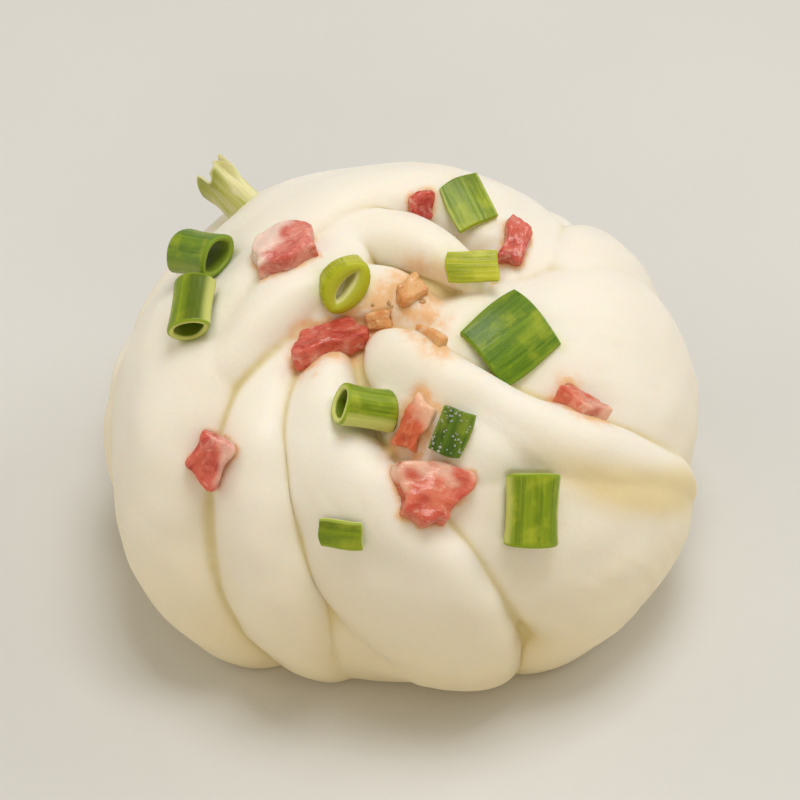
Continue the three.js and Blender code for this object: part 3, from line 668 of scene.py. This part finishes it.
DICE_CELLS = 22  # along an edge of a dice
DICE_SQUARENESS = 7.0  # 2 would make a ball, and more makes a box
DICE_SKEW, DICE_WARP, DICE_CROWN = 0.12, 0.1, 0.06  # how uneven its cuts, its sides and its top are
DICE_LUMPS = [(0.13, 5.0), (0.03, 1.7), (0.015, 0.8)]  # heights and wavelengths
DICE_SHRINK = 0.2  # mm smaller before the lumps are added
TORN_DEPTH, TORN_WIDTH = 0.22, 2.8


def dice(piece, seed):
    """A knife-cut dice of ham, out of square, with soft corners and a torn surface."""
    points, faces = cube_sphere(DICE_CELLS)
    size = np.array(piece["size"])
    corner = np.abs(points) ** DICE_SQUARENESS
    rounded = points / (corner.sum(1) ** (1 / DICE_SQUARENESS))[:, None]
    x, y, z = (rounded * size / 2).T
    phase = piece["at"][0]
    widening = 1 + DICE_WARP * np.sin(y + phase) + piece.get("taper", 0) * y / (size[1] / 2)
    body = np.stack([x * widening + DICE_SKEW * y, y * (1 + DICE_WARP * np.cos(x + phase)),
                     z * (1 - DICE_CROWN * np.sin(x - y + phase))], -1)
    lumps = sum(height * waves(body, width, seed + i) for i, (height, width) in enumerate(DICE_LUMPS))
    torn = TORN_DEPTH * smoothstep(waves(body * [1, 1, 0.3], TORN_WIDTH, seed + 3), 0.6, 1.8)
    body = body * (1 - DICE_SHRINK / size.min()) + unit(rounded / size) * (lumps - torn)[:, None]
    # the paler side: fat, and on the large coral dice a painted light on its upper part
    side = body @ np.array(piece.get("fat", (0, 0, 0))) / size.min() + 0.15 * waves(body, 3.0, seed + 4)
    stored = {"grain": body + seed * 10.0, "fat": smoothstep(side, 0.1, 0.75)}
    return body + [0, 0, size[2] / 2], faces, stored


def on_dough(tree, at):
    """The dough's point in a direction from the dome's centre, and the normal there."""
    outward = Vector(directions([(at[0], 90 - at[1])])[0])
    start = (Vector((0, 0, EQUATOR_HEIGHT)) + outward * PROBE_START) * MM
    hit, normal = tree.ray_cast(start, -outward)[:2]
    return np.array(hit) / MM, np.array(normal)


CRUMB_SIZES = (0.3, 0.9)
CRUMB_START, CRUMB_SCATTER = 0.4, (0.3, 1.2)  # share of its piece's length, and mm past that
CRUMB_LUMPS, CRUMB_STRETCH, CRUMB_FLATNESS = 0.16, (0.6, 1.5), 0.4
CRUMB_RISE = 0.1  # height of its middle, as a share of its size


def crumbs(name, tree, rows, count, seed):
    """Small torn bits of ham around the pieces they came from."""
    random = np.random.default_rng(seed)
    base, quads = cube_sphere(8)
    parts = []
    for i in range(count):
        row = rows[random.integers(len(rows))]
        azimuth, elevation = row["at"]
        way = random.uniform(0, 2 * np.pi)
        distance = row["size"][0] * CRUMB_START + random.uniform(*CRUMB_SCATTER)
        reach = math.degrees(distance / (BUN_WIDTH / 2))
        parallel = max(0.3, math.cos(math.radians(elevation)))
        at = (azimuth + reach * math.cos(way) / parallel, elevation + reach * math.sin(way))
        place, normal = on_dough(tree, at)
        size = random.uniform(*CRUMB_SIZES)
        shape = unit(base) * size / 2 * (1 + CRUMB_LUMPS * waves(base, 2.2, seed + i))[:, None]
        shape *= random.uniform(*CRUMB_STRETCH, 3)
        shape -= np.outer(shape @ normal, normal) * CRUMB_FLATNESS
        parts.append((shape + place + normal * size * CRUMB_RISE, quads))
    piece = mesh_object(name, *merged(parts))
    store(piece.data, "grain", vertex_points(piece.data) * 1.7)
    piece.data.shade_smooth()
    return piece


DROP_RADII, DROP_STRETCH = (0.09, 0.24), (0.85, 1.0)
DROP_RISE = 0.25  # height of its middle, as a share of its radius


def drops(name, piece, count, seed):
    """Beads of water on the upper side of a leaf."""
    random = np.random.default_rng(seed)
    base, quads = cube_sphere(6)
    ball = unit(base)
    parts = []
    points, normals = vertex_points(piece.data), vertex_normals(piece.data)
    upper = np.nonzero(normals @ unit(np.array([0, -0.3, 1.0])) > 0.6)[0]
    for i in random.choice(upper, count, replace=False):
        radius = random.uniform(*DROP_RADII)
        bead = ball * radius * random.uniform(*DROP_STRETCH, 3)
        parts.append((bead + points[i] + normals[i] * radius * DROP_RISE, quads))
    beads = mesh_object(name, *merged(parts))
    beads.data.shade_smooth()
    return beads


SHAPES = {"tube": tube, "ring": ring, "leaf": leaf, "dice": dice}


def make_piece(tree, name, row, seed):
    """A piece seated on the dough, with the numbers that its material reads."""
    points, faces, stored = SHAPES[row.get("kind", "dice")](row, seed)
    piece = mesh_object(name, placed(points, seat_on(tree, row)), faces)
    for field, values in stored.items():
        store(piece.data, field, values)
    piece.data.shade_smooth()
    return piece


# ------------ materials


class Nodes:
    """A short way to write a material's node tree."""

    def __init__(self, name):
        self.material = bpy.data.materials.new(name)
        self.material.use_nodes = True
        self.tree = self.material.node_tree
        self.shader = self.tree.nodes["Principled BSDF"]

    def add(self, kind, settings=None, **inputs):
        node = self.tree.nodes.new("ShaderNode" + kind)
        for key, value in (settings or {}).items():
            setattr(node, key, value)
        self.feed_all(node, inputs)
        return node

    def feed_all(self, node, inputs):
        for key, value in inputs.items():
            self.feed(node.inputs[key.replace("_", " ")], value)

    def feed(self, socket, value):
        """Links another node's output to a socket, or sets the socket to a value."""
        if isinstance(value, bpy.types.NodeSocket):
            self.tree.links.new(value, socket)
        else:
            socket.default_value = value

    def attribute(self, name, field="Fac"):
        return self.add("Attribute", {"attribute_name": name}).outputs[field]

    def noise(self, vector, scale, detail=3.0, roughness=0.5, distortion=0.0):
        return self.add("TexNoise", Scale=scale, Detail=detail, Roughness=roughness,
                        Distortion=distortion, Vector=vector).outputs["Fac"]

    def ramp(self, value, low, high, to_low=0.0, to_high=1.0):
        """A soft step from to_low, where the value is low, to to_high."""
        return self.add("MapRange", {"interpolation_type": "SMOOTHSTEP"}, Value=value,
                        From_Min=low, From_Max=high, To_Min=to_low, To_Max=to_high).outputs["Result"]

    def mix(self, factor, first, second):
        """A blend of two colours, each a node's output or (red, green, blue)."""
        node = self.add("Mix", {"data_type": "RGBA"}, Factor=factor)
        for socket, colour in ((node.inputs[6], first), (node.inputs[7], second)):
            self.feed(socket, (*colour, 1) if isinstance(colour, tuple) else colour)
        return node.outputs[2]

    def math(self, operation, first, second):
        node = self.add("Math", {"operation": operation})
        self.feed(node.inputs[0], first)
        self.feed(node.inputs[1], second)
        return node.outputs[0]

    def stretched(self, vector, factors, *noise):
        """Noise whose scale differs along the vector's three parts."""
        vector = self.add("Mapping", Vector=vector, Scale=factors).outputs["Vector"]
        return self.noise(vector, 1.0, *noise)

    def position(self):
        return self.add("NewGeometry").outputs["Position"]

    def bump(self, height, distance):
        return self.add("Bump", Strength=1.0, Distance=distance, Height=height).outputs["Normal"]

    def finish(self, **inputs):
        """The material; its subsurface radii are in metres."""
        self.feed_all(self.shader, inputs | {"Subsurface_Scale": 1.0})
        return self.material


DOUGH_SHADE, DOUGH_LIGHT = (0.895, 0.842, 0.745), (0.920, 0.880, 0.800)
DOUGH_LOW_SHADE, LOW_SHADE_HEIGHTS = (0.86, 0.73, 0.44), (0.004, 0.038)  # painted shade and warm bounce light: darker and yellower towards the foot, heights in m
# painted shade: darker, yellower colours for broad valleys and narrow creases
DOUGH_VALLEY_SHADE, DOUGH_CREASE_SHADE = (0.80, 0.66, 0.34), (0.71, 0.60, 0.29)
GREEN_STAIN, OIL_STAIN = (0.74, 0.76, 0.40), (0.84, 0.47, 0.18)
SCALLION_LOOKS = {  # old skin, young skin, pale skin, cut edge, inside (for the fresh look a deep green, painted shade in a tube's mouth)
    "dark": ((0.036, 0.086, 0.006), (0.115, 0.205, 0.010), (0.32, 0.39, 0.025), (0.32, 0.40, 0.05),
             (0.11, 0.18, 0.02)),
    "mid": ((0.080, 0.178, 0.004), (0.175, 0.295, 0.008), (0.40, 0.46, 0.02), (0.26, 0.34, 0.03),
            (0.24, 0.33, 0.03)),
    "fresh": ((0.140, 0.225, 0.005), (0.260, 0.360, 0.008), (0.50, 0.54, 0.035), (0.67, 0.70, 0.20),
              (0.17, 0.24, 0.02)),
    "lime": ((0.290, 0.350, 0.006), (0.480, 0.500, 0.012), (0.68, 0.66, 0.08), (0.50, 0.52, 0.035),
             (0.86, 0.83, 0.42)),
    "stem": ((0.480, 0.530, 0.050), (0.700, 0.650, 0.360), (0.86, 0.78, 0.60), (0.82, 0.78, 0.44),
             (0.70, 0.66, 0.36)),
}
HAM_LOOKS = {  # lean, middle, light, fat (the fat colour also paints the light on one dice's upper part)
    "red": ((0.44, 0.032, 0.022), (0.66, 0.120, 0.075), (0.80, 0.28, 0.20), (0.90, 0.60, 0.50)),
    "pink": ((0.60, 0.110, 0.080), (0.77, 0.275, 0.215), (0.87, 0.48, 0.40), (0.93, 0.75, 0.66)),
    "salmon": ((0.62, 0.090, 0.028), (0.76, 0.190, 0.070), (0.84, 0.38, 0.19), (0.90, 0.60, 0.42)),
    "coral": ((0.60, 0.085, 0.045), (0.74, 0.185, 0.100), (0.83, 0.35, 0.225), (0.90, 0.58, 0.44)),
    "peach": ((0.68, 0.285, 0.080), (0.78, 0.430, 0.170), (0.85, 0.56, 0.30), (0.90, 0.70, 0.47)),
}


def dough_material():
    n = Nodes("steamed_dough")
    place = n.position()
    crease = n.attribute("crease")
    valley_shade = n.attribute("valley_shade")
    tone = n.noise(place, 45.0, 4.0)
    base = n.mix(n.ramp(tone, 0.35, 0.7), DOUGH_SHADE, DOUGH_LIGHT)
    # painted shade: warmer and darker towards the foot, standing for bounce light and shade low on the bun
    low = n.ramp(n.add("SeparateXYZ", Vector=place).outputs["Z"], *LOW_SHADE_HEIGHTS, 0.72, 0.0)
    base = n.mix(low, base, DOUGH_LOW_SHADE)
    # painted shade in the valleys and the creases
    base = n.mix(n.ramp(valley_shade, 0.0, 1.0, 0.0, 0.85), base, DOUGH_VALLEY_SHADE)
    base = n.mix(n.ramp(crease, 0.0, 0.8, 0.0, 0.85), base, DOUGH_CREASE_SHADE)
    uneven = n.ramp(n.noise(place, 420.0, 3.0, 0.6), 0.3, 0.7, 0.45, 1.15)
    green_stain = n.math("MULTIPLY", n.attribute("near_scallion"), uneven)
    oil_stain = n.math("MULTIPLY", n.attribute("near_ham"), uneven)
    base = n.mix(n.ramp(green_stain, 0.0, 1.0, 0.0, 0.55), base, GREEN_STAIN)
    base = n.mix(n.ramp(oil_stain, 0.05, 0.9, 0.0, 0.85), base, OIL_STAIN)
    fine = n.noise(place, 900.0, 3.0, 0.6)
    pores = n.noise(place, 2600.0, 2.0, 0.5)
    strands = n.stretched(n.attribute("fold_place", "Vector"), (0.06, 1.4, 1.0), 3.0)
    height = n.math("ADD", n.math("MULTIPLY", fine, 0.5), n.math("MULTIPLY", strands, 0.12))
    height = n.math("ADD", height, n.math("MULTIPLY", pores, 0.16))
    normal = n.bump(height, 0.00012)
    rough = n.ramp(n.noise(place, 160.0, 3.0), 0.3, 0.7, 0.42, 0.56)
    return n.finish(Base_Color=base, Roughness=rough, Normal=normal, Subsurface_Weight=0.5,
                    Subsurface_Radius=(0.0016, 0.0011, 0.0006), IOR=1.42,
                    Specular_IOR_Level=0.42, Coat_Weight=0.05, Coat_Roughness=0.35)


def scallion_material(name, deep, fresh, pale, cut, inside):
    n = Nodes(name)
    grain = n.attribute("grain", "Vector")
    stripes = n.stretched(grain, (0.10, 2.3, 1.0), 4.0, 0.6)
    patches = n.stretched(grain, (0.35, 0.5, 0.5), 3.0)
    colour = n.mix(n.ramp(stripes, 0.3, 0.7), deep, fresh)
    colour = n.mix(n.ramp(patches, 0.45, 0.75, 0.0, 0.6), colour, pale)
    depth = n.attribute("depth")
    layers = n.stretched(grain, (0.2, 0.35, 5.0), 3.0)
    # painted shade: a darker copy of the old skin on one side, and the real green of a frilled end
    colour = n.mix(n.attribute("dusk"), colour, tuple(0.6 * level for level in deep))
    colour = n.mix(n.math("MULTIPLY", n.attribute("side"), 0.85), colour, cut)
    # inner wall: a painted shade in the fresh tubes' mouths, the real pale wall of the lime and stem rings
    colour = n.mix(n.ramp(depth, 0.5, 1.0, 0.0, 0.8), colour, inside)
    flesh = n.mix(n.ramp(n.math("ADD", depth, n.math("MULTIPLY", layers, 0.5)), 0.35, 0.95), fresh, cut)
    colour = n.mix(n.ramp(n.attribute("cut"), 0.0, 1.0, 0.0, 0.95), colour, flesh)
    fibres = n.stretched(grain, (0.25, 7.0, 2.0), 3.0)
    skin = n.noise(grain, 3.0, 2.0)
    height = n.math("ADD", fibres, n.math("MULTIPLY", skin, 0.6))
    rough = n.ramp(n.noise(grain, 0.8, 2.0), 0.3, 0.7, 0.30, 0.48)
    return n.finish(Base_Color=colour, Roughness=rough, Normal=n.bump(height, 0.00006), IOR=1.4,
                    Subsurface_Weight=0.25, Subsurface_Radius=(0.0006, 0.0012, 0.0003),
                    Specular_IOR_Level=0.35, Coat_Weight=0.15, Coat_Roughness=0.16)


def ham_material(name, dark, mid, light, fat):
    n = Nodes(name)
    grain = n.attribute("grain", "Vector")
    clouds = n.noise(grain, 0.33, 4.0, 0.6, 0.6)
    fibres = n.stretched(grain, (0.35, 1.6, 1.2), 5.0, 0.65, 0.8)
    flecks = n.noise(grain, 0.6, 2.0, 0.5, 0.7)
    colour = n.mix(n.ramp(clouds, 0.36, 0.62), dark, mid)
    colour = n.mix(n.ramp(fibres, 0.46, 0.74, 0.0, 0.6), colour, light)
    colour = n.mix(n.ramp(flecks, 0.56, 0.78, 0.0, 0.55), colour, fat)
    # paler side: fat on most dice, a painted light on the upper part of the large coral one
    colour = n.mix(n.math("MULTIPLY", n.attribute("fat"), 0.85), colour, fat)
    height = n.math("ADD", fibres, n.math("MULTIPLY", n.noise(grain, 4.5, 3.0), 0.6))
    rough = n.ramp(flecks, 0.3, 0.7, 0.25, 0.42)
    return n.finish(Base_Color=colour, Roughness=rough, Normal=n.bump(height, 0.00018), IOR=1.4,
                    Subsurface_Weight=0.5, Subsurface_Radius=(0.0022, 0.0007, 0.0005),
                    Coat_Weight=0.45, Coat_Roughness=0.14)


def water_and_glint_material():
    n = Nodes("water_and_painted_glint")
    # the whitish base colour is a painted highlight, standing for the glints on the drops
    ripple = n.noise(n.position(), 1500.0, 2.0)
    return n.finish(Base_Color=n.mix(ripple, (0.86, 0.93, 0.84), (1.0, 1.0, 1.0)), Roughness=0.08, IOR=1.36,
                    Transmission_Weight=0.7, Normal=n.bump(ripple, 0.00002))


def floor_material():
    n = Nodes("pale_floor")
    place = n.position()
    colour = n.mix(n.ramp(n.noise(place, 12.0, 4.0), 0.3, 0.7), (0.66, 0.66, 0.65), (0.69, 0.69, 0.68))
    return n.finish(Base_Color=colour, Roughness=0.75, Normal=n.bump(n.noise(place, 700.0, 2.0), 0.00004))


# ------------ assembly


def add_filling(rows, name, node, seeds):
    """A piece for each row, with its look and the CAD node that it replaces."""
    pieces = []
    for i, row in enumerate(rows, start=1):
        piece = make_piece(dough_tree, f"{name}_{i}", row, seed=seeds[0] + seeds[1] * i)
        piece.data.materials.append(looks[row["look"]])
        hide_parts(f"{node}_{i}")
        pieces.append(piece)
    return pieces


def nearness(points, pieces, reaches):
    """1 at the surface of a piece, falling off over its reach in mm."""
    most = np.zeros(len(points))
    for piece, reach in zip(pieces, reaches):
        own = vertex_points(piece.data)
        low, high = own.min(0) - reach * 2.5, own.max(0) + reach * 2.5
        near = np.nonzero(((points > low) & (points < high)).all(1))[0]
        tree = surface_tree(piece.data, own)
        distance = np.array([tree.find_nearest(Vector(points[i]))[3] for i in near])
        most[near] = np.maximum(most[near], np.exp(-(distance / reach) ** 1.3))
    return most


def under_tubes(points):
    """1 under a hollow slice, falling to 0 just outside it."""
    most = np.zeros(len(points))
    for row in SCALLIONS:
        if row["kind"] == "tube":
            along, across, above = np.abs(placed(points, seat_on(dough_tree, row).inverted())).T
            inside = smoothstep(row["length"] / 2 - along, -0.6, 0.2)
            inside *= smoothstep(row["radius"] - across, 0, 1.2)
            most = np.maximum(most, inside * (above < row["radius"]))
    return most


def with_spots(points, most, rows):
    """A field with round spots added: a direction, a reach in mm and a strength for each."""
    for at, reach, strength in rows:
        distance = np.linalg.norm(points - on_dough(dough_tree, at)[0], axis=1)
        most = np.maximum(most, strength * np.exp(-(distance / reach) ** 2))
    return most


def colour_dough(points):
    """Stores where the filling stains the dough, and adds painted shade in the valley under the ridge."""
    store(dough_mesh, "near_scallion", nearness(
        points, scallions, [row.get("stain", SCALLION_STAIN) for row in SCALLIONS]))
    near_ham = nearness(points, hams, [row.get("stain", HAM_STAIN) for row in HAM])
    store(dough_mesh, "near_ham", with_spots(points, near_ham, STAINS))
    valley_shade = np.zeros(len(points))
    field = dough_mesh.attributes["valley_shade"].data
    field.foreach_get("value", valley_shade)
    along = np.linspace(0, len(HOLLOW_SHADE) - 1, HOLLOW_SHADE_STEPS)
    steps = zip(*(np.interp(along, range(len(HOLLOW_SHADE)), row) for row in zip(*HOLLOW_SHADE)))
    spots = [((azimuth, elevation), HOLLOW_SHADE_REACH, strength) for azimuth, elevation, strength in steps]
    valley_shade = with_spots(points, valley_shade, spots)
    field.foreach_set("value", valley_shade.astype(np.float32))


def press_dough(points):
    """Raises the dough around every piece, and presses it in under the hollow slices."""
    close = nearness(points, scallions + hams, [MENISCUS_REACH] * (len(SCALLIONS) + len(HAM)))
    under = under_tubes(points)
    swelling = (MENISCUS * close * (1 - under) - TUBE_PRESS * under) * smoothstep(points[:, 2], 1, 4)
    set_points(dough_mesh, points + vertex_normals(dough_mesh) * swelling[:, None])


dough_mesh, dough_places = make_dough()
dough = new_object("roll_dough", dough_mesh)
dough_tree = surface_tree(dough_mesh, [v.co for v in dough_mesh.vertices])

looks = {look: scallion_material(f"scallion_{look}", *row) for look, row in SCALLION_LOOKS.items()}
looks |= {look: ham_material(f"ham_{look}", *row) for look, row in HAM_LOOKS.items()}
scallions = add_filling(SCALLIONS, "cut_scallion", "scallion", (100, 1))
hams = add_filling(HAM, "diced_ham", "ham", (200, 5))
ham_crumbs = crumbs("ham_crumbs", dough_tree, [HAM[3], HAM[13]], count=12, seed=31)
ham_crumbs.data.materials.append(looks["peach"])
beads = drops("water_drops", scallions[7], count=52, seed=59)
beads.data.materials.append(water_and_glint_material())

surface_points = vertex_points(dough_mesh)
colour_dough(surface_points)
press_dough(surface_points)
store(dough_mesh, "fold_place", np.column_stack([dough_places, np.zeros(len(dough_places))]))
dough_mesh.materials.append(dough_material())
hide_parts("dough")
for piece in [dough, ham_crumbs, beads] + scallions + hams:
    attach(piece, "root")

# ------------ stage, lights and camera

FLOOR_SIZE = 4000.0  # mm; the rest here is in metres
AIM = Vector((0, 0, 0.0255))  # the middle of the bun
CAMERA_ELEVATION = math.radians(45)
CAMERA_DISTANCE = 0.66
VIEW_WIDTH = 0.112  # what the frame spans at the bun
WORLD_COLOUR, WORLD_STRENGTH = (1.0, 0.90, 0.72, 1), 0.40
LIGHTS = [  # name, place, size, power and colour
    ("key", (0.08, 0.06, 0.86), 0.38, 3.45, (0.98, 0.99, 1.0)),
    ("right", (0.65, 0.25, 0.45), 0.50, 1.6, (1.0, 0.975, 0.95)),
    ("front", (0.0, -0.95, 0.40), 0.90, 1.65, (1.0, 0.81, 0.50)),
    ("left", (-0.80, 0.10, 0.42), 0.60, 1.4, (1.0, 0.95, 0.86)),
]


def make_floor():
    corners = np.array([(-1, -1, 0), (1, -1, 0), (1, 1, 0), (-1, 1, 0)])
    floor = mesh_object("floor", corners * FLOOR_SIZE / 2, [(0, 1, 2, 3)])
    floor.data.materials.append(floor_material())
    return floor


def area_light(name, place, size, power, colour):
    light = bpy.data.lights.new(name, "AREA")
    light.size = size
    light.energy = power
    light.color = colour
    lamp = new_object(name, light)
    lamp.location = place
    lamp.rotation_euler = (AIM - Vector(place)).to_track_quat("-Z", "Y").to_euler()


def make_camera():
    lens = bpy.data.cameras.new("camera")
    lens.lens = lens.sensor_width * CAMERA_DISTANCE / VIEW_WIDTH
    camera = new_object("camera", lens)
    towards = Vector((0, -math.cos(CAMERA_ELEVATION), math.sin(CAMERA_ELEVATION)))
    camera.location = AIM + towards * CAMERA_DISTANCE
    camera.rotation_euler = (-towards).to_track_quat("-Z", "Y").to_euler()
    return camera


floor = make_floor()
for row in LIGHTS:
    area_light(*row)
world = bpy.data.worlds.new("studio")
world.use_nodes = True
background = world.node_tree.nodes["Background"].inputs
background["Color"].default_value = WORLD_COLOUR
background["Strength"].default_value = WORLD_STRENGTH
scene.world = world
scene.view_settings.view_transform = "Standard"
scene.camera = make_camera()
